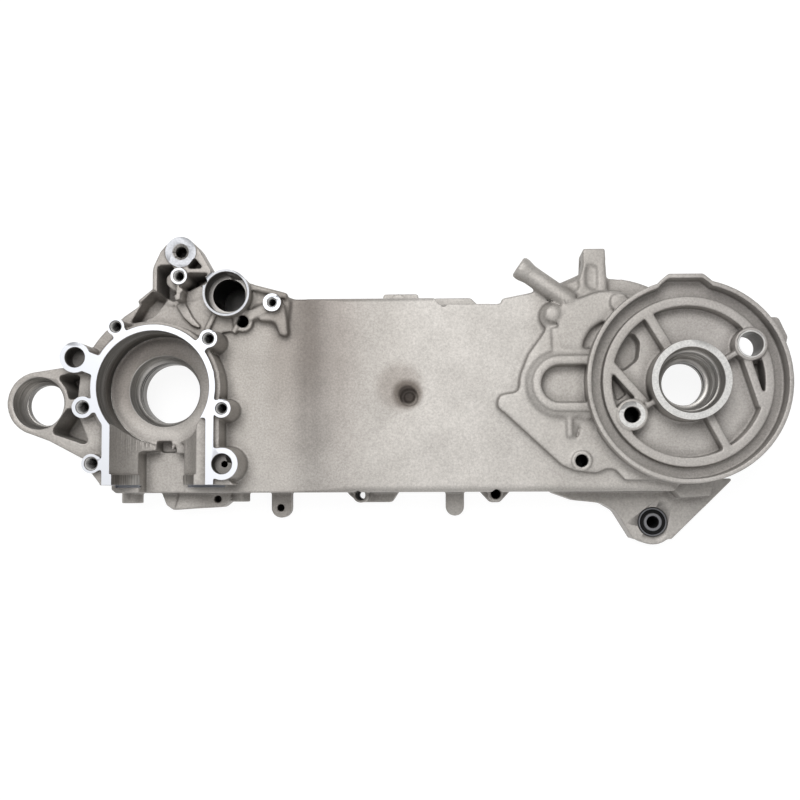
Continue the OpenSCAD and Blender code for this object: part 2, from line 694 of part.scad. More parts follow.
// Shock absorber lug on the lower edge
module shock_lug() {
    color("Silver") {
        layer(0, lug_thickness) {
            disc(shock, bush_d / 2 + 5.7);
            at_rear() polygon(rounded([[255, -60], [262, -69.4], [276.6, -74.6], [295.8, -76.6],
                             [305, -82], [317, -101.5], [343, -101.5], [386, -60]],
                            [1, 4, 6, 10, 8, 1, 1, 1]));
        }
        at_rear() layer(lug_thickness - 1, 40) polygon(rounded([
            [340, -60], [340.6, -67], [346, -73], [366, -71.6], [368, -60]], [1, 1, 2, 2, 1]));
    }
}

module shock_lug_cuts() {
    post(shock, bush_d / 2 + bush_fit, -through, lug_thickness + through);
    post(shock, bush_d / 2 + 0.6, lug_thickness - 0.8, lug_thickness + through);
}

// Breather hose nozzle that slants out of the gear housing
nozzle_base = [axle.x - 74, axle.y + 53.2, plateau_z - 3];
nozzle_tip = nozzle_base + [-34.6, 24.9, 1];
nozzle_length = norm(nozzle_tip - nozzle_base);

module along_nozzle() {
    d = nozzle_tip - nozzle_base;
    translate(nozzle_base) rotate([0, 90, atan2(d.y, d.x)]) children();
}

module hose_nozzle() {
    color("Silver") along_nozzle() rotate_extrude() polygon([
        [0, 0], [6.8, 0], [6.6, nozzle_length - 9], [7.6, nozzle_length - 5],
        [7.7, nozzle_length - 1.6], [6.8, nozzle_length], [0, nozzle_length]]);
}

module hose_nozzle_cuts() {
    along_nozzle() translate([0, 0, 14]) cylinder(r = 4.4, h = nozzle_length);
}

// Cable bracket on the upper edge
module cable_bracket() {
    color("Silver") at_rear() difference() {
        union() {
            layer(36, rear_height + 3) polygon(rounded([
                [276, 69], [279.4, 78.6], [280, 91.4], [294.3, 91.4], [295.6, 69]],
                [1, 4, 1, 1, 1]));
            layer(rear_height - 2, rear_height + 3) polygon([[276, 62], [280, 76], [295.2, 76],
                                                             [296, 60]]);
            layer(40, rear_height - 1) polygon([[262, 68.5], [277, 75], [283, 80], [283, 69]]);
        }
        // recess with a round top, open towards the case
        layer(rear_height - 3, rear_height + 4) polygon(rounded([
            [281.4, 64.4], [281.6, 81.6], [289.2, 80.4], [289.2, 64.4]], [0.5, 3.6, 3.6, 0.5]));
        translate([279, 84, 44]) rotate([0, 90, 0]) cylinder(r = 3.2, h = 3);
    }
}

// Spigots under the cylinder face that carry the cylinder shroud, and the reed valve plate
module shroud_posts() {
    color("Silver") {
        for (p = [[-31, 7.3, 8], [45.4, 6.2, 7.2]])
            translate([p.x, -lower_edge + 4, 20]) rotate([90, 0, 0]) cylinder(r = p.y, h = p.z + 3);
        layer(8, 24) polygon(rounded([[3, -60], [3, -68], [-0.4, -80.2], [33, -78.4], [38.6, -74],
                                      [39.8, -60]], [1, 1, 1, 4, 2, 1]));
        layer(8, 22.8) polygon(rounded([[-10, -60], [-10, -68], [-6.4, -77], [-1.4, -80.4],
                                        [6, -80], [6, -60]], [1, 1, 4, 2, 1, 1]));
    }
}

module shroud_cuts() {
    post([29.8, -72.8], 2.5, 12, 26);
    post([71.2, -79.2], cover_screw_d / 2, -through, flange_height + through);
    for (p = cover_screws) post(p, cover_screw_d / 2, -through, 18);
    for (p = [cover_screws[7], cover_screws[8]]) post(p, 3.4, flange_height, 62);
    // gate mark and small blind hole in the wall
    layer(rear_height - 0.9, rear_height + through) ring(gate, 5.8, 3.2);
    post([187.8, 55.7], 1.5, rear_height - 2.6, rear_height + through);
}

module crankcase_casting() {
    color("Silver") difference() {
        union() {
            difference() {
                union() {
                    belt_case();
                    gasket_flange();
                    upper_hanger();
                    starter_deck();
                    gear_housing();
                    gearbox();
                    brake_body();
                    shock_lug();
                    hose_nozzle();
                    cable_bracket();
                    shroud_posts();
                }
                upper_hanger_cuts();
                brake_space();
            }
            crank_housing();
            front_hanger();
            lug_bosses();
            starter_seat();
            brake_fittings();
        }
        crank_cuts();
        front_hanger_cuts();
        flank_cuts();
        starter_cuts();
        gear_housing_cuts();
        brake_cuts();
        gearbox_cuts();
        shock_lug_cuts();
        hose_nozzle_cuts();
        shroud_cuts();
    }
}

// Rubber bush pressed into the shock absorber lug
module bush_outer_sleeve() {
    color("Gray") layer(0, lug_thickness) ring(shock, bush_d / 2, rubber_d / 2);
}

module bush_rubber() {
    color("DimGray") layer(0.6, lug_thickness - 0.6) ring(shock, rubber_d / 2, inner_d / 2);
}

module bush_inner_sleeve() {
    color("LightSlateGray") layer(0, lug_thickness + sleeve_proud) ring(shock, inner_d / 2, bolt_d / 2);
}

module in_frame() {
    translate([0, 0, -floor_z]) children();
}

in_frame() crankcase_casting();
in_frame() bush_outer_sleeve();
in_frame() bush_rubber();
in_frame() bush_inner_sleeve();
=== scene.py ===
import json
import math

import bpy
from mathutils import Matrix, Vector


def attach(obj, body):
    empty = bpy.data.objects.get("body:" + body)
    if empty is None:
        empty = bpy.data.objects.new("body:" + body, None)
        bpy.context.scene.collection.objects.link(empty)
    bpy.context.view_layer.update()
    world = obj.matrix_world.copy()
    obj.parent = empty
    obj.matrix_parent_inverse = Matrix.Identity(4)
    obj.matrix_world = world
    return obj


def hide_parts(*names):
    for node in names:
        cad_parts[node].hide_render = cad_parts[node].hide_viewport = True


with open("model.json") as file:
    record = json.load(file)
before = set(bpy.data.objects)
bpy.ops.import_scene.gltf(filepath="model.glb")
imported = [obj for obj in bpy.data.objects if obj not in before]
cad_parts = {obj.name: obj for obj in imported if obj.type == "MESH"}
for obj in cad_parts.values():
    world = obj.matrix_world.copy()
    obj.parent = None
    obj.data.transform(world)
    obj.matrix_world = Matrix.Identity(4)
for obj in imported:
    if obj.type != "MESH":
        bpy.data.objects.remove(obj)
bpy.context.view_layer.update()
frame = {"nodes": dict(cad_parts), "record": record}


# Crankcase casting.
# Aluminium alloy, pressure die cast, so every edge that no tool has touched is soft. The faces
# and bores that other parts seat on are milled and bored afterwards, and their edges are sharp.
MM = 0.001
mounts = {mount["name"]: mount["pos_m"] for mount in frame["record"]["mounts"]}


def plan(mount):
    """Where a mount of the record lies in plan."""
    return tuple(round(c / MM, 2) for c in mounts[mount][:2])


def level(mount):
    """How high a mount of the record lies."""
    return round(mounts[mount][2] / MM, 2)


# Places in plan: seven bores of the record, then the brake's anchor pin, the two bearing seats
# of the gearbox, and the small bosses and holes.
CRANK = plan("main_bearing_bore")
AXLE = plan("axle_bearing_bore")
HANGER = plan("front_hanger_bore")
STARTER = plan("starter_seat_bore")
LUG = plan("upper_lug_bore")
SHOCK = plan("shock_bolt_bore")
CAM = plan("brake_cam_bore")
ANCHOR = (309.5, -19.1)
PULLEY = (288.0, 4.0)
LAYSHAFT = (314.0, 2.3)
LUG_BOSS = (14.7, 73.5)
DECK_BOSS = (75, 56.6)
DECK_HOLE = (54.2, 45.2)
FRAME_HOLE = (277.6, -48.5)
BLIND_BOSS = (-51, 19.7)
INLET = (45.2, -49.8)

# Heights of the faces.
GASKET_Z = level("belt_cover_face")
GEARBOX_Z = -20.0
JOINT_Z = level("joint_face")
LUG_Z = level("upper_lug_bore")
STARTER_Z = level("starter_seat_bore")
CAM_Z = level("brake_cam_bore")
ANCHOR_Z = 18.8
LUG_BOSS_Z = 21.5
DECK_BOSS_Z = 16.0
CHAMBER_FLOOR_Z = 0


def pick(obj):
    """Selects obj alone and makes it the active one."""
    bpy.ops.object.select_all(action="DESELECT")
    obj.select_set(True)
    bpy.context.view_layer.objects.active = obj


def place_in_mesh(obj):
    """Moves the object's place, turn and size into its mesh."""
    pick(obj)
    bpy.ops.object.transform_apply(location=True, rotation=True, scale=True)


def turned(name, place, profile, material, sides=128):
    """A solid of revolution about a vertical axis: (radius, height) pairs from the bottom up."""
    radius, height = profile[0]
    bpy.ops.mesh.primitive_circle_add(vertices=sides, radius=radius * MM, fill_type="NGON",
                                      location=(place[0] * MM, place[1] * MM, height * MM))
    obj = bpy.context.object
    obj.name = name
    place_in_mesh(obj)
    centre = (place[0] * MM, place[1] * MM, 0)
    bpy.ops.object.mode_set(mode="EDIT")
    bpy.ops.mesh.select_all(action="SELECT")
    for next_radius, next_height in profile[1:]:
        bpy.ops.mesh.extrude_region_move(
            TRANSFORM_OT_translate={"value": (0, 0, (next_height - height) * MM)})
        factor = next_radius / radius
        if factor != 1:
            bpy.ops.transform.resize(value=(factor, factor, 1), center_override=centre)
        radius, height = next_radius, next_height
    bpy.ops.mesh.select_all(action="SELECT")
    bpy.ops.mesh.normals_make_consistent(inside=False)
    bpy.ops.object.mode_set(mode="OBJECT")
    obj.data.materials.append(material)
    return obj


def post(name, place, radius, low, high, material, sides=128):
    """A plain round post between two heights."""
    return turned(name, place, [(radius, low), (radius, high)], material, sides)


def block(name, low, high, material):
    """A box between two corners."""
    size = [(b - a) * MM for a, b in zip(low, high)]
    middle = [(a + b) / 2 * MM for a, b in zip(low, high)]
    bpy.ops.mesh.primitive_cube_add(size=1, location=middle, scale=size)
    obj = bpy.context.object
    obj.name = name
    place_in_mesh(obj)
    obj.data.materials.append(material)
    return obj


def moved(obj, turn, place):
    """Turns an object that stands on the origin, in degrees about X, Y and Z, and moves it."""
    obj.rotation_euler = [math.radians(angle) for angle in turn]
    obj.location = [c * MM for c in place]
    place_in_mesh(obj)
    return obj


def join(objects, name):
    """One object from several."""
    bpy.ops.object.select_all(action="DESELECT")
    for obj in objects:
        obj.select_set(True)
    bpy.context.view_layer.objects.active = objects[0]
    bpy.ops.object.join()
    objects[0].name = name
    return objects[0]


def combine(target, tool, operation):
    """Adds the tool to the target or cuts it out, and removes the tool."""
    pick(target)
    step = target.modifiers.new(operation, "BOOLEAN")
    step.operation = operation
    step.solver = "MANIFOLD"
    step.material_mode = "TRANSFER"
    step.object = tool
    bpy.ops.object.modifier_apply(modifier=step.name)
    bpy.data.objects.remove(tool, do_unlink=True)


def linear(hex_colour):
    """sRGB hex to the linear colour that Blender's sockets take."""
    channels = [int(hex_colour[i:i + 2], 16) / 255 for i in (1, 3, 5)]
    return tuple(c / 12.92 if c <= 0.04045 else ((c + 0.055) / 1.055) ** 2.4
                 for c in channels) + (1.0,)


def add(tree, kind, values=None, links=None, **settings):
    """Adds a node to a tree, with its settings, its socket values and its incoming links."""
    node = tree.nodes.new(kind)
    for key, value in settings.items():
        setattr(node, key, value)
    for key, value in (values or {}).items():
        node.inputs[key].default_value = value
    for key, source in (links or {}).items():
        tree.links.new(source, node.inputs[key])
    return node


def new_material(name):
    """A material without nodes, and its tree."""
    material = bpy.data.materials.new(name)
    material.use_nodes = True
    material.node_tree.nodes.clear()
    return material, material.node_tree


def multiplied(tree, first, second, share=1.0):
    """Two colours multiplied, the second one only by its share: a number or a socket."""
    node = add(tree, "ShaderNodeMix", data_type="RGBA", blend_type="MULTIPLY",
               links={6: first, 7: second})
    if isinstance(share, float):
        node.inputs[0].default_value = share
    else:
        tree.links.new(share, node.inputs[0])
    return node.outputs[2]


def ramp(tree, factor, stops, interpolation="LINEAR"):
    """A run of colours over a factor: (position, hex colour) pairs."""
    node = add(tree, "ShaderNodeValToRGB", links={"Fac": factor})
    node.color_ramp.interpolation = interpolation
    first, last = node.color_ramp.elements[0], node.color_ramp.elements[1]
    first.position, first.color = stops[0][0], linear(stops[0][1])
    last.position, last.color = stops[-1][0], linear(stops[-1][1])
    for position, colour in stops[1:-1]:
        node.color_ramp.elements.new(position).color = linear(colour)
    return node.outputs["Color"]


def openness(tree, reach):
    """How open to the sky a place is, within a reach: 0 in a deep corner, 1 on a free face."""
    return add(tree, "ShaderNodeAmbientOcclusion", {"Distance": reach * MM},
               samples=6).outputs["AO"]


def painted_corner_shade(tree, reach, darkest):
    """Painted shade: grey that darkens in corners and holes, over a reach."""
    return ramp(tree, openness(tree, reach), [(0.0, darkest), (1.0, "#ffffff")])


# Die-cast aluminium, shot blasted: a warm light grey with a fine grain from the shot and a
# faint mottle from the die, matt enough that it mirrors nothing. Painted shade darkens its
# corners and hollows, and the skin round the gate where the metal ran in is darker.
MOTTLE = 30             # width of the mottle's patches
SHOT_GRAIN = 1.3        # width of the grains, and how far they stand up
SHOT_RELIEF = 0.25
# Painted shade in bands along the case from the crank on, darkest at a quarter of this length.
# It has its full strength in the upper part of the case and fades towards the lower edge.
CASE_LENGTH = 400
CASE_FADE = (-60, 20)
CASE_PAINTED_SHADE = [(0.0, "#e9e7e6"), (0.16, "#e6e4e2"), (0.20, "#d3cfcc"), (0.245, "#a9a4a1"),
              (0.29, "#d3cfcd"), (0.36, "#f0efee"), (0.45, "#ffffff"), (0.58, "#ffffff"),
              (0.66, "#eae9e8"), (1.0, "#eeedee")]
# Darker places, painted shade on the chamber floor and the stains round the gate: middle,
# radius and the run of colours outwards.
# The first entry is painted shade on the chamber floor; the other two are the gate's stains.
STAINS_AND_PAINTED_SHADE = [((-12, 12, -2), 42, [(0.0, "#d0cdcb"), (0.5, "#d6d3d1"), (1.0, "#ffffff")]),
          ((163.7, -3.8, 7.0), 12,
           [(0.0, "#544d49"), (0.42, "#655e5a"), (0.6, "#b3aeaa"), (1.0, "#ffffff")]),
          ((158.5, 1.5, 7.0), 20, [(0.0, "#d5d1ce"), (0.5, "#e4e1df"), (1.0, "#ffffff")])]
cast_skin, tree = new_material("blasted_die_cast_aluminium")
where = add(tree, "ShaderNodeTexCoord").outputs["Object"]
mottle = add(tree, "ShaderNodeTexNoise", {"Scale": 1 / (MOTTLE * MM), "Detail": 3.0,
                                          "Roughness": 0.6}, {"Vector": where}).outputs["Fac"]
speckle = add(tree, "ShaderNodeTexNoise", {"Scale": 1 / (SHOT_GRAIN * MM), "Detail": 2.0,
                                           "Roughness": 0.7}, {"Vector": where}).outputs["Fac"]
parts = add(tree, "ShaderNodeSeparateXYZ", links={"Vector": where}).outputs
along = add(tree, "ShaderNodeMapRange", {"From Max": CASE_LENGTH * MM},
            {"Value": parts["X"]}).outputs[0]
upwards = add(tree, "ShaderNodeMapRange", {"From Min": CASE_FADE[0] * MM,
                                           "From Max": CASE_FADE[1] * MM, "To Min": 0.45},
              {"Value": parts["Y"]}).outputs[0]
tone = ramp(tree, mottle, [(0.35, "#bab6b1"), (0.65, "#c6c2bd")])
# Painted shade in bands along the case, weaker towards the lower edge.
tone = multiplied(tree, tone, ramp(tree, along, CASE_PAINTED_SHADE, "EASE"), upwards)
tone = multiplied(tree, tone, ramp(tree, speckle, [(0.30, "#cfcfcf"), (0.70, "#ffffff")]), 0.7)
# Painted shade on the chamber floor, and the stains round the gate.
for place, reach, stops in STAINS_AND_PAINTED_SHADE:
    away = add(tree, "ShaderNodeVectorMath", {1: [c * MM for c in place]}, {0: where},
               operation="DISTANCE").outputs["Value"]
    away = add(tree, "ShaderNodeMapRange", {"From Max": reach * MM}, {"Value": away}).outputs[0]
    tone = multiplied(tree, tone, ramp(tree, away, stops, "EASE"))
# Painted shade in the corners and hollows of the casting.
tone = multiplied(tree, tone, painted_corner_shade(tree, 8, "#716d6a"))
relief = add(tree, "ShaderNodeBump", {"Strength": 0.35, "Distance": SHOT_RELIEF * MM},
             {"Height": speckle}).outputs["Normal"]
skin = add(tree, "ShaderNodeBsdfPrincipled", {"Metallic": 0.6, "Roughness": 0.6},
           {"Base Color": tone, "Normal": relief})
add(tree, "ShaderNodeOutputMaterial", links={"Surface": skin.outputs["BSDF"]})

# Aluminium faced with a large milling cutter: nearly white, with hardly visible cutter marks
# about 4 mm apart.
milled, tree = new_material("face_milled_aluminium")
where = add(tree, "ShaderNodeTexCoord").outputs["Object"]
marks = add(tree, "ShaderNodeTexNoise", {"Scale": 1 / (4 * MM), "Detail": 2.0}, {"Vector": where})
relief = add(tree, "ShaderNodeBump", {"Strength": 0.1, "Distance": 0.05 * MM},
             {"Height": marks.outputs["Fac"]}).outputs["Normal"]
face = add(tree, "ShaderNodeBsdfPrincipled",
           {"Base Color": linear("#d0d2d7"), "Metallic": 0.7, "Roughness": 0.5},
           {"Normal": relief})
add(tree, "ShaderNodeOutputMaterial", links={"Surface": face.outputs["BSDF"]})

# Bored and turned aluminium, with rings across the bore that the tool leaves. Painted shade makes
# the walls dark grey, the ledges lighter and the corners darker. The rings are drawn 0.5 mm apart,
# coarser than real ones, so that they show.
bored, tree = new_material("bored_aluminium")
where = add(tree, "ShaderNodeTexCoord").outputs["Object"]
depth = add(tree, "ShaderNodeMapping", {"Scale": (0.02, 0.02, 1.0)}, {"Vector": where}).outputs[0]
rings = add(tree, "ShaderNodeTexNoise", {"Scale": 1 / (0.5 * MM), "Detail": 2.0},
            {"Vector": depth}).outputs["Fac"]
# Painted shade: walls darker than the ledges that face up.
normal = add(tree, "ShaderNodeNewGeometry").outputs["Normal"]
facing = add(tree, "ShaderNodeSeparateXYZ", links={"Vector": normal}).outputs["Z"]
tone = ramp(tree, facing, [(0.3, "#908d89"), (0.7, "#c2bfbb")])
tone = multiplied(tree, tone, ramp(tree, rings, [(0.35, "#b9b8b7"), (0.65, "#ffffff")]))
# Painted shade in the corners of the bore.
tone = multiplied(tree, tone, painted_corner_shade(tree, 12, "#3a3634"))
wall = add(tree, "ShaderNodeBsdfPrincipled", {"Metallic": 0.85, "Roughness": 0.42},
           {"Base Color": tone})
add(tree, "ShaderNodeOutputMaterial", links={"Surface": wall.outputs["BSDF"]})

# Drilled holes: the same metal, with painted shade that turns them black inside.
HOLE_SHADE = 35         # the reach over which holes darken
drilled_metal, tree = new_material("drilled_aluminium")
tone = ramp(tree, openness(tree, HOLE_SHADE),
            [(0.0, "#080808"), (0.22, "#1d1b1a"), (0.45, "#a5a29e"), (1.0, "#c5c2be")])
wall = add(tree, "ShaderNodeBsdfPrincipled", {"Metallic": 0.8, "Roughness": 0.35},
           {"Base Color": tone})
add(tree, "ShaderNodeOutputMaterial", links={"Surface": wall.outputs["BSDF"]})

# Tapped holes: clean threads, with a painted glint on the wall that looks to the rear and the
# upper edge, along the vector below, and painted shade that turns them black below.
PAINTED_GLINT = (0.24, 0.14, 0.0)
tapped, tree = new_material("tapped_aluminium")
normal = add(tree, "ShaderNodeNewGeometry").outputs["Normal"]
# Painted glint: lighter where the wall faces along that vector.
painted_glint = add(tree, "ShaderNodeVectorMath", {1: PAINTED_GLINT}, {0: normal},
            operation="DOT_PRODUCT").outputs["Value"]
shade = add(tree, "ShaderNodeMath", links={0: openness(tree, HOLE_SHADE), 1: painted_glint},
            operation="ADD").outputs[0]
tone = ramp(tree, shade,
            [(0.1, "#0a0a0a"), (0.22, "#4a4745"), (0.34, "#efeeec"), (1.0, "#f4f3f1")])
wall = add(tree, "ShaderNodeBsdfPrincipled", {"Metallic": 0.3, "Roughness": 0.45},
           {"Base Color": tone})
add(tree, "ShaderNodeOutputMaterial", links={"Surface": wall.outputs["BSDF"]})


def finely_faced(name, dark, light):
    """Aluminium faced by a small tool: matt, with fine marks between a dark and a light tone."""
    material, tree = new_material(name)
    where = add(tree, "ShaderNodeTexCoord").outputs["Object"]
    marks = add(tree, "ShaderNodeTexNoise", {"Scale": 1 / (1.2 * MM), "Detail": 3.0},
                {"Vector": where}).outputs["Fac"]
    tone = ramp(tree, marks, [(0.35, dark), (0.65, light)])
    face = add(tree, "ShaderNodeBsdfPrincipled", {"Metallic": 0.5, "Roughness": 0.6},
               {"Base Color": tone})
    add(tree, "ShaderNodeOutputMaterial", links={"Surface": face.outputs["BSDF"]})
    return material


# The hub and the brake bosses are turned and look neutral grey. The upper lug and the starter
# ring are spot-faced and look silver with a blue cast.
turned_face = finely_faced("turned_aluminium", "#bbbab8", "#d0cfcc")
spot_faced = finely_faced("spot_faced_aluminium", "#b4b6ba", "#c6c7cb")

# The casting starts as a copy of the CAD solid.
WELD = 0.0005           # merges the solid's loose triangles and leaves its narrow faces alone
casting = frame["nodes"]["crankcase_casting"].copy()
casting.data = casting.data.copy()
casting.name = "soft_cast_crankcase"
bpy.context.collection.objects.link(casting)
casting.data.materials.clear()
casting.data.materials.append(cast_skin)
pick(casting)
bpy.ops.object.mode_set(mode="EDIT")
bpy.ops.mesh.select_all(action="SELECT")
bpy.ops.mesh.remove_doubles(threshold=WELD * MM)
bpy.ops.object.mode_set(mode="OBJECT")

# Soft webs and fillets that the solid leaves open: between the nozzle and the cable bracket, at
# the bracket's foot, in its recess, and in the corner of the transfer passage. Each is a block
# of a size round its middle, turned in plan by some degrees.
WEBS = [((22, 11, 6), (273, 64.5, 5), 18), ((10, 7.4, 11), (279.6, 61.6, 4.0), 18),
        ((8.2, 18, 5.4), (285.3, 73, 5.7), 0), ((7.2, 8.2, 12), (11.7, -37.9, -6.2), 0)]
# Walls of the upper lug that end at the height of the deck, and one rib below the gear frame
# that is only a low swelling, in the same form.
GAPS = [((17, 5.6, 14.5), (24.6, 68.5, 14.75), 23), ((13, 4.4, 14.5), (2.2, 60.1, 14.75), -25),
        ((4.4, 4.4, 14.5), (9.6, 58.7, 14.75), 21), ((11.6, 15.4, 5), (282.2, -29.3, 13.5), 0)]
for blocks, operation in ((WEBS, "UNION"), (GAPS, "DIFFERENCE")):
    for size, middle, lean in blocks:
        piece = block("block", [-c / 2 for c in size], [c / 2 for c in size], cast_skin)
        combine(casting, moved(piece, (0, 0, lean), middle), operation)
combine(casting, post("low boss", (9.7, 72.1), 5.4, -6, 14.2, cast_skin), "UNION")

# Bores and holes: place, then radius, bottom and top of the plug that closes them in the die,
# then the profile of the tool that opens them again, from the bottom up, with chamfered mouths.
PLUG_SPARE = 1.2        # by how much a plug is wider than its hole
THREAD_DEPTH = 0.5
THREAD_TURNS = 10       # only as far down as light reaches


def drilled(place, radius, bottom, top):
    """A plain hole that opens upwards."""
    return (place, (radius + PLUG_SPARE, bottom, top), [(radius, bottom), (radius, top + 0.5)])


def drilled_below(place, bottom, top):
    """A cover screw hole, which opens downwards."""
    return (place, (3.8, bottom, top), [(3.3, bottom - 0.3), (2.6, bottom + 0.4), (2.6, top)])


def threaded(place, radius, bottom, top):
    """A tapped hole, with one turn of thread for each millimetre."""
    crest = radius - THREAD_DEPTH
    lowest = top - THREAD_TURNS - 0.4
    profile = [(crest, bottom)]
    for turn in range(THREAD_TURNS):
        profile += [(crest, lowest + turn), (radius, lowest + turn + 0.3)]
    return (place, (radius + PLUG_SPARE, bottom, top), profile + [(radius, top + 0.5)])


BORES = [
    (CRANK, (24.2, -27, 0),
     [(20.8, -30), (20.8, -18.6), (21.6, -18.6), (21.6, -17.2), (20.8, -17.2), (20.8, -15.6),
      (21.7, -15.6), (21.7, -13.8), (20.8, -13.8), (20.8, -12.5), (21.3, -12), (23.5, -12),
      (23.5, -0.8), (24.6, 0.3)]),
    (AXLE, (21.6, -8, JOINT_Z),
     [(14.3, -12), (14.3, -4), (15.2, -4), (15.2, -1.6), (14.3, -1.6), (14.3, 2), (17.5, 2),
      (17.5, 9.2), (18.3, 9.2), (18.3, 10.4), (17.7, 10.4), (18.9, 11.4), (18.9, 14.2),
      (19.8, 14.2), (19.8, 15.6), (18.9, 15.6), (18.9, 18.6), (20.6, 19), (20.6, 27.3),
      (21.6, 28.3)]),
    (HANGER, (17.6, -1, 20),
     [(13.6, -3), (13.6, 4), (15.0, 4), (15.0, 10.4), (16.8, 11), (16.8, 19.4), (17.6, 20.2)]),
    (STARTER, (14.2, 7.5, STARTER_Z), [(13.7, 7.5), (13.7, 17.6), (14.3, 18.2)]),
    (BLIND_BOSS, (7.6, 15, JOINT_Z), [(6.4, 15), (6.4, 27.6), (7.2, 28.4)]),
    (INLET, (7.8, 20, JOINT_Z), [(6.45, 20), (6.45, 27.6), (7.2, 28.4)]),
    (CAM, (9.2, -4, CAM_Z), [(7.8, -6), (7.8, 18.8), (8.6, 19.6)]),
    (SHOCK, (10.8, GASKET_Z, -28), [(9.84, -52), (9.84, -28.8), (10.4, -28.6), (10.4, -27)]),
    (PULLEY, (17.0, -8, 1), [(16.8, -8.4), (16.0, -7.6), (16.0, 1)]),
    (LAYSHAFT, (8.8, -7, 2), [(8.7, -7.4), (8.0, -6.7), (8.0, 2)]),
]
HOLES = [
    (STARTER, (11.0, -26, 7.6), [(11.0, -26), (11.0, 7.6)]),
    drilled(ANCHOR, 5.2, -11, ANCHOR_Z),
    drilled(LUG, 3.8, 6.6, LUG_Z),
    drilled(DECK_HOLE, 4.1, -31, 9),
    drilled(FRAME_HOLE, 4.2, GEARBOX_Z, 12),
    (INLET, (7.8, -8, 20), [(2.2, -8), (2.2, 20.2)]),
]
# Screws of the joint face: place, radius of the thread and of the countersink's foot.
JOINT_SCREWS = [((-24.5, 39.5), 3.6, 3.4), ((36, 31.2), 3.6, 3.4), ((44.8, -14.1), 3.6, 3.4),
                ((-39.6, -49.3), 4.15, 3.9), ((-45.6, -12.8), 4.15, 3.9)]
# Screws of the belt cover, and of the gearbox cover measured from the axle.
COVER_SCREWS = [(-43, -29), (-43, 29), (8, 66), (92, 57), (156, 64), (224, 53), (262, 66),
                (27, -64), (352, 56), (392, -7.7), (368, -48)]
GEARBOX_SCREWS = [(21.5, 37.2), (-10, 42), (-50, 33.4), (-86, 11), (-76, -22.4), (-38, -35),
                  (-4, -43), (27, -34), (43, -4)]
HOLES += [drilled_below(place, GASKET_Z, -32) for place in COVER_SCREWS]
HOLES += [drilled_below((AXLE[0] + x, AXLE[1] + y), GEARBOX_Z, -4) for x, y in GEARBOX_SCREWS]
THREADS = [threaded(LUG_BOSS, 3.4, 0, LUG_BOSS_Z), threaded(DECK_BOSS, 2.9, -10, DECK_BOSS_Z)]
THREADS += [threaded(place, radius, 4, JOINT_Z) for place, radius, _ in JOINT_SCREWS]
plugs = [post("plug", place, radius, low, high, cast_skin)
         for place, (radius, low, high), _ in BORES + HOLES + THREADS]
combine(casting, join(plugs, "plugs"), "UNION")


def raise_face(obj, height, by, place=None, reach=None):
    """Lifts the flat face at a height, so that milling it back later leaves a sharp edge."""
    pick(obj)
    bpy.ops.object.mode_set(mode="EDIT")
    bpy.ops.mesh.select_mode(type="VERT")
    bpy.ops.mesh.select_all(action="DESELECT")
    bpy.ops.object.mode_set(mode="OBJECT")
    for v in obj.data.vertices:
        if abs(v.co.z / MM - height) < 0.02:
            v.select = place is None or math.dist((v.co.x / MM, v.co.y / MM), place) < reach
    bpy.ops.object.mode_set(mode="EDIT")
    bpy.ops.transform.translate(value=(0, 0, by * MM))
    bpy.ops.object.mode_set(mode="OBJECT")


# Faces that stand proud when the casting comes out of the die: the joint face, the small ones
# (height, place, radius and finish) and those of the belt side.
JOINT_STOCK = 1.2
FACE_STOCK = 0.8
GASKET_STOCK = 1.0
FACES = [(LUG_Z, LUG, 10.3, spot_faced), (LUG_BOSS_Z, LUG_BOSS, 5.9, milled),
         (DECK_BOSS_Z, DECK_BOSS, 6.4, milled), (STARTER_Z, STARTER, 16.0, spot_faced)]
raise_face(casting, JOINT_Z, JOINT_STOCK)
for height, place, reach, _ in FACES:
    raise_face(casting, height, FACE_STOCK, place, reach)
raise_face(casting, GASKET_Z, -GASKET_STOCK)
raise_face(casting, GEARBOX_Z, -FACE_STOCK, (320, 3), 100)

# The soft skin of a casting: the solid is rebuilt from small cells and smoothed.
GRAIN = 0.8             # size of the cells
SOFT_PASSES = 5         # smoothing passes, which round the cast edges to about 1 mm
WIDE_PASSES = 24        # further passes where the fillets are wide
CAST_TRIANGLES = 158000
pick(casting)
casting.data.remesh_voxel_size = GRAIN * MM
bpy.ops.object.voxel_remesh()

# Wide fillets: on the gear housing, the deck's outer end and the nozzle's tip. Each is a box,
# with the round bosses in it that keep their edges, as place and radius.
WIDE_FILLETS = [((218, -62, 3), (305, 84, 20), [(AXLE, 66.6), (FRAME_HOLE, 7.6), ((259.4, 47.9), 5)]),
                ((60, 28, 3), (96, 72, 14), [(STARTER, 18), (DECK_BOSS, 7.2), (DECK_HOLE, 8)]),
                ((250, 79, -6), (268, 95, 16), [])]


def in_wide_fillet(point):
    """True where the skin is softened more."""
    for low, high, bosses in WIDE_FILLETS:
        if all(a < c < b for a, c, b in zip(low, point, high)):
            if all(math.dist(point[:2], place) > reach for place, reach in bosses):
                return True
    return False


def smoothed(obj, passes, group=""):
    """Rounds the mesh, or one vertex group of it, by a number of passes."""
    step = obj.modifiers.new("soft", "SMOOTH")
    step.factor = 0.5
    step.iterations = passes
    step.vertex_group = group
    bpy.ops.object.modifier_apply(modifier=step.name)


smoothed(casting, SOFT_PASSES)
wide = casting.vertex_groups.new(name="wide_fillets")
wide.add([v.index for v in casting.data.vertices if in_wide_fillet(v.co / MM)], 1.0, "REPLACE")
smoothed(casting, WIDE_PASSES, wide.name)
count = sum(len(p.vertices) - 2 for p in casting.data.polygons)
thin = casting.modifiers.new("fewer faces", "DECIMATE")
thin.ratio = CAST_TRIANGLES / count
bpy.ops.object.modifier_apply(modifier=thin.name)

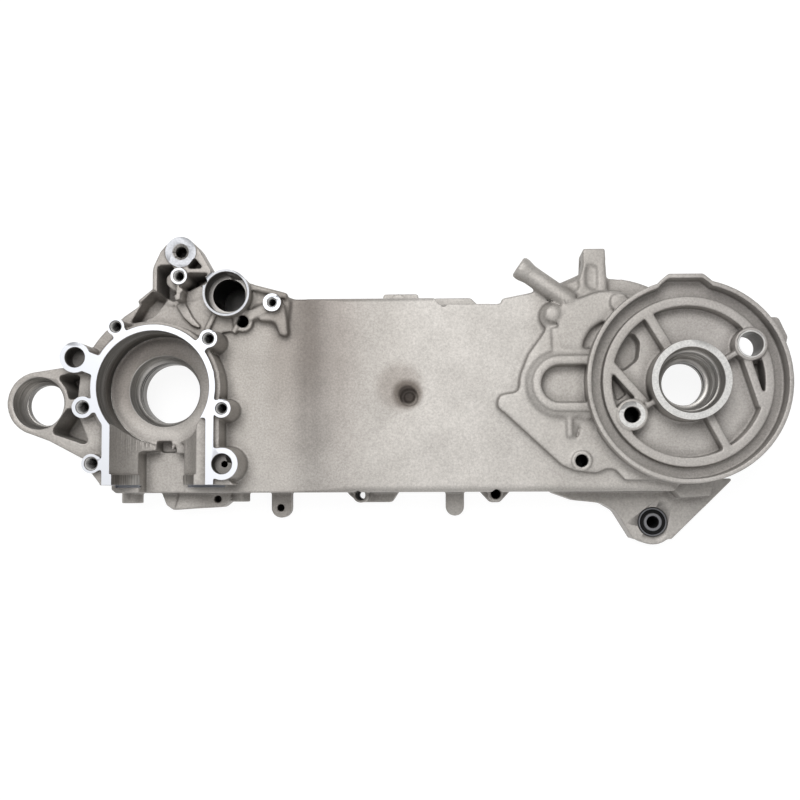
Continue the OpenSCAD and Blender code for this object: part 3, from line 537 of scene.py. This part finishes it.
# Milling takes the stock off again. The hub and the small faces are done with a smaller cutter,
# and the brake bosses are only skimmed, so their shoulders stay as round as the die left them.
PAST_LOW, PAST_HIGH = (-130, -130), (440, 130)      # corners in plan past the whole casting
CUT = 6
HUB_R, HUB_Z = 26.6, 27.95
SKIMS = [(CAM, 8.9, 19.1), (ANCHOR, 8.5, 18.7)]
GEARBOX_CUTS = [(AXLE, 47.5), ((316, 3), 45.0), (PULLEY, 36.5)]
CYLINDER_Y = -63.3                                  # the face that the cylinder stands on
mills = [block("mill", (*PAST_LOW, JOINT_Z), (*PAST_HIGH, JOINT_Z + CUT), milled),
         block("mill", (*PAST_LOW, GASKET_Z - CUT), (*PAST_HIGH, GASKET_Z), milled),
         block("mill", (-32, CYLINDER_Y - 1.5, -2), (42, CYLINDER_Y + 0.25, JOINT_Z + CUT), milled),
         post("mill", AXLE, HUB_R, HUB_Z, JOINT_Z + 3, turned_face)]
mills += [post("mill", place, reach, height, height + 3, finish)
          for height, place, reach, finish in FACES]
mills += [post("mill", place, reach, height, height + 3, turned_face)
          for place, reach, height in SKIMS]
mills += [post("mill", place, reach, GEARBOX_Z - 1.6, GEARBOX_Z, milled)
          for place, reach in GEARBOX_CUTS]

# The wall of the crank chamber is bored. The cylinder mouth has a cast relief for the piston
# skirt and a bored seat for the cylinder's spigot; both point away from the crank.
CHAMBER_R = 36.65
SKIRT_R, SKIRT_Y, SKIRT_LENGTH = 27.75, -22, 34
SPIGOT_R, SPIGOT_Y, SPIGOT_LENGTH = 26.35, -56.3, 14
mills.append(turned("borer", CRANK, [(CHAMBER_R, CHAMBER_FLOOR_Z + 0.5), (CHAMBER_R, JOINT_Z - 0.3),
                                     (CHAMBER_R + 0.65, JOINT_Z + 0.35)], bored))
mills.append(moved(post("borer", (0, 0), SKIRT_R, 0, SKIRT_LENGTH, cast_skin),
                   (90, 0, 0), (0, SKIRT_Y, JOINT_Z)))
mills.append(moved(post("borer", (0, 0), SPIGOT_R, 0, SPIGOT_LENGTH, bored),
                   (90, 0, 0), (0, SPIGOT_Y, JOINT_Z)))
for tool in mills:
    combine(casting, tool, "DIFFERENCE")

# Countersinks: place, height of the mouth, radius of the foot and width.
SINKS = [(ANCHOR, ANCHOR_Z, 5.2, 0.5), (LUG, LUG_Z, 3.8, 1.7), (LUG_BOSS, LUG_BOSS_Z, 3.4, 0.5),
         (DECK_BOSS, DECK_BOSS_Z, 2.9, 0.5), (FRAME_HOLE, 12.0, 4.2, 0.3)]
SINKS += [(place, JOINT_Z, foot, 0.7) for place, _, foot in JOINT_SCREWS]
sinks = [turned("sink", place, [(foot, z - width), (foot + width + 0.4, z + 0.4)], bored, 64)
         for place, z, foot, width in SINKS]
combine(casting, join(sinks, "sinks"), "DIFFERENCE")
for holes, finish, sides in ((THREADS, tapped, 40), (HOLES, drilled_metal, 40), (BORES, bored, 128)):
    borers = [turned("borer", place, profile, finish, sides) for place, _, profile in holes]
    combine(casting, join(borers, "borers"), "DIFFERENCE")

pick(casting)
bpy.ops.object.shade_smooth_by_angle(angle=math.radians(32))
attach(casting, "root")
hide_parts("crankcase_casting")


# Shock absorber bush.
# Two steel sleeves with a rubber ring vulcanised between them, pressed into the lug as one
# piece. The steel is zinc plated and dull, and the rubber is moulded and matt black.
zinc, tree = new_material("zinc_plated_steel")
face = add(tree, "ShaderNodeBsdfPrincipled",
           {"Base Color": linear("#7c7c7f"), "Metallic": 1.0, "Roughness": 0.4})
add(tree, "ShaderNodeOutputMaterial", links={"Surface": face.outputs["BSDF"]})

black_rubber, tree = new_material("moulded_black_rubber")
where = add(tree, "ShaderNodeTexCoord").outputs["Object"]
grain = add(tree, "ShaderNodeTexNoise", {"Scale": 1 / (1.0 * MM), "Detail": 2.0}, {"Vector": where})
relief = add(tree, "ShaderNodeBump", {"Strength": 0.3, "Distance": 0.1 * MM},
             {"Height": grain.outputs["Fac"]}).outputs["Normal"]
face = add(tree, "ShaderNodeBsdfPrincipled",
           {"Base Color": linear("#0e0e0e"), "Roughness": 0.8, "Specular IOR Level": 0.3},
           {"Normal": relief})
add(tree, "ShaderNodeOutputMaterial", links={"Surface": face.outputs["BSDF"]})

# Each ring: its name, the CAD node it stands for, material and slot, then the outer profile and
# the profile of the hole, from the bottom up.
RINGS = [
    ("bush_outer_steel_sleeve", "bush_outer_sleeve", zinc, "bush_steel",
     [(9.4, -50), (9.8, -49.6), (9.8, -28.4), (9.4, -28)],
     [(9.0, -50.2), (8.6, -49.7), (8.6, -28.3), (9.0, -27.8)]),
    ("bush_rubber_ring", "bush_rubber", black_rubber, "bush_rubber",
     [(8.0, -49.0), (8.6, -49.4), (8.6, -28.6), (8.2, -28.9), (7.4, -29.3), (6.9, -29.2)],
     [(6.3, -51), (6.3, -27)]),
    ("bush_inner_steel_sleeve", "bush_inner_sleeve", zinc, "bush_steel",
     [(6.0, -50), (6.3, -49.7), (6.3, -27.6), (5.9, -27.2)],
     [(4.4, -50.2), (4.1, -49.8), (4.1, -27.5), (4.6, -27.0)]),
]
for name, node_name, finish, slot, outer, inner in RINGS:
    ring = turned(name, SHOCK, outer, finish, 96)
    combine(ring, turned("hole", SHOCK, inner, finish, 96), "DIFFERENCE")
    pick(ring)
    bpy.ops.object.shade_smooth_by_angle(angle=math.radians(30))
    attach(ring, "root")
    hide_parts(node_name)


# Studio: a pale floor that shows white and keeps a light shadow, with painted shadow under the
# small holes of the lower edge: dark discs that make those holes look dark from above.
WHITE = (1, 1, 1, 1)
paper, tree = new_material("white_paper")
seen = add(tree, "ShaderNodeLightPath").outputs
shown = add(tree, "ShaderNodeMath", operation="MAXIMUM",
            links={0: seen["Is Camera Ray"], 1: seen["Is Glossy Ray"]}).outputs[0]
shown = add(tree, "ShaderNodeMath", operation="MAXIMUM",
            links={0: shown, 1: seen["Is Transmission Ray"]}).outputs[0]
matt = add(tree, "ShaderNodeBsdfDiffuse", {"Color": linear("#f4f4f4")})
shadow = add(tree, "ShaderNodeBsdfDiffuse", {"Color": (0.16, 0.16, 0.16, 1)})
glow = add(tree, "ShaderNodeEmission", {"Color": WHITE, "Strength": 0.91})
white = add(tree, "ShaderNodeAddShader", links={0: shadow.outputs[0], 1: glow.outputs[0]})
either = add(tree, "ShaderNodeMixShader",
             links={0: shown, 1: matt.outputs[0], 2: white.outputs[0]})
add(tree, "ShaderNodeOutputMaterial", links={"Surface": either.outputs[0]})
bpy.ops.mesh.primitive_plane_add(size=8, location=(0.2, 0, (GASKET_Z - 0.2) * MM))
floor = bpy.context.object
floor.name = "paper_floor"
floor.data.materials.append(paper)

# Painted shadow: dark discs on the floor under the holes, as place and radius.
PAINTED_SHADOW_PATCHES = [(SHOCK, 4.6), ((71.6, -79.2), 3.2), ((222.6, -70), 3.8)]
painted_shadow_paper, tree = new_material("painted_shadow_paper")
face = add(tree, "ShaderNodeBsdfDiffuse", {"Color": linear("#1b1a1a")})
add(tree, "ShaderNodeOutputMaterial", links={"Surface": face.outputs["BSDF"]})
for number, ((x, y), radius) in enumerate(PAINTED_SHADOW_PATCHES, 1):
    bpy.ops.mesh.primitive_circle_add(vertices=48, radius=radius * MM, fill_type="NGON",
                                      location=(x * MM, y * MM, (GASKET_Z - 0.1) * MM))
    patch = bpy.context.object
    patch.name = "painted_shadow_patch_%d" % number
    patch.data.materials.append(painted_shadow_paper)
    place_in_mesh(patch)

# The surround lights the case at a plain level and shows white to the camera.
world = bpy.data.worlds.new("white_surround")
world.use_nodes = True
tree = world.node_tree
tree.nodes.clear()
seen = add(tree, "ShaderNodeLightPath").outputs
light = add(tree, "ShaderNodeBackground", {"Color": WHITE, "Strength": 0.42})
white = add(tree, "ShaderNodeBackground", {"Color": WHITE, "Strength": 1.0})
either = add(tree, "ShaderNodeMixShader",
             links={0: seen["Is Camera Ray"], 1: light.outputs[0], 2: white.outputs[0]})
add(tree, "ShaderNodeOutputWorld", links={"Surface": either.outputs[0]})
bpy.context.scene.world = world
bpy.context.scene.view_settings.view_transform = "Standard"

# A large soft lamp above the upper edge and a weak one above the lower edge: name, place in
# metres and power. Both point at the middle of the case.
LAMPS = [("softbox", (0.0, 0.50, 1.25), 14.5), ("fill", (0.32, -0.65, 0.85), 2.2)]
LIT_POINT = Vector((0.16, 0, 0))
for name, place, power in LAMPS:
    bpy.ops.object.light_add(type="AREA", location=place)
    lamp = bpy.context.object
    lamp.name = name
    lamp.data.shape = "DISK"
    lamp.data.size = 0.9
    lamp.data.energy = power
    lamp.rotation_euler = (LIT_POINT - lamp.location).to_track_quat("-Z", "Y").to_euler()

# Camera: the photograph's, almost straight above the middle of the case. Its lens and turn come
# from the photograph, in pixels.
IMAGE = 800                         # side of the square picture
FOCAL = 1007.0                      # focal length
CENTRE = (430.0, 445.0)             # where the optical axis meets the picture
NADIR = (460.0, 490.0)              # the point straight below the camera
ROLL = 0.004                        # turn of the case against the picture's lower edge
SENSOR = 36                         # width of the sensor, in millimetres
CAMERA = (198.11, -67.21, 670.06)
camera = bpy.data.objects.new("camera", bpy.data.cameras.new("camera"))
bpy.context.collection.objects.link(camera)
bpy.context.scene.camera = camera
camera.data.sensor_width = SENSOR
camera.data.lens = FOCAL / IMAGE * SENSOR
camera.data.shift_x = -(CENTRE[0] - IMAGE / 2) / IMAGE
camera.data.shift_y = (CENTRE[1] - IMAGE / 2) / IMAGE
camera.data.clip_start = 0.01
down = Vector((NADIR[0] - CENTRE[0], NADIR[1] - CENTRE[1], FOCAL)).normalized()
along = Vector((1, -ROLL, 0))
along = (along - down * along.dot(down)).normalized()
across = (-down).cross(along)
rows = [(along[i], across[i], -down[i]) for i in range(3)]
camera.matrix_world = Matrix.Translation(Vector(CAMERA) * MM) @ Matrix(
    (rows[0], [-n for n in rows[1]], [-n for n in rows[2]])).transposed().to_4x4()
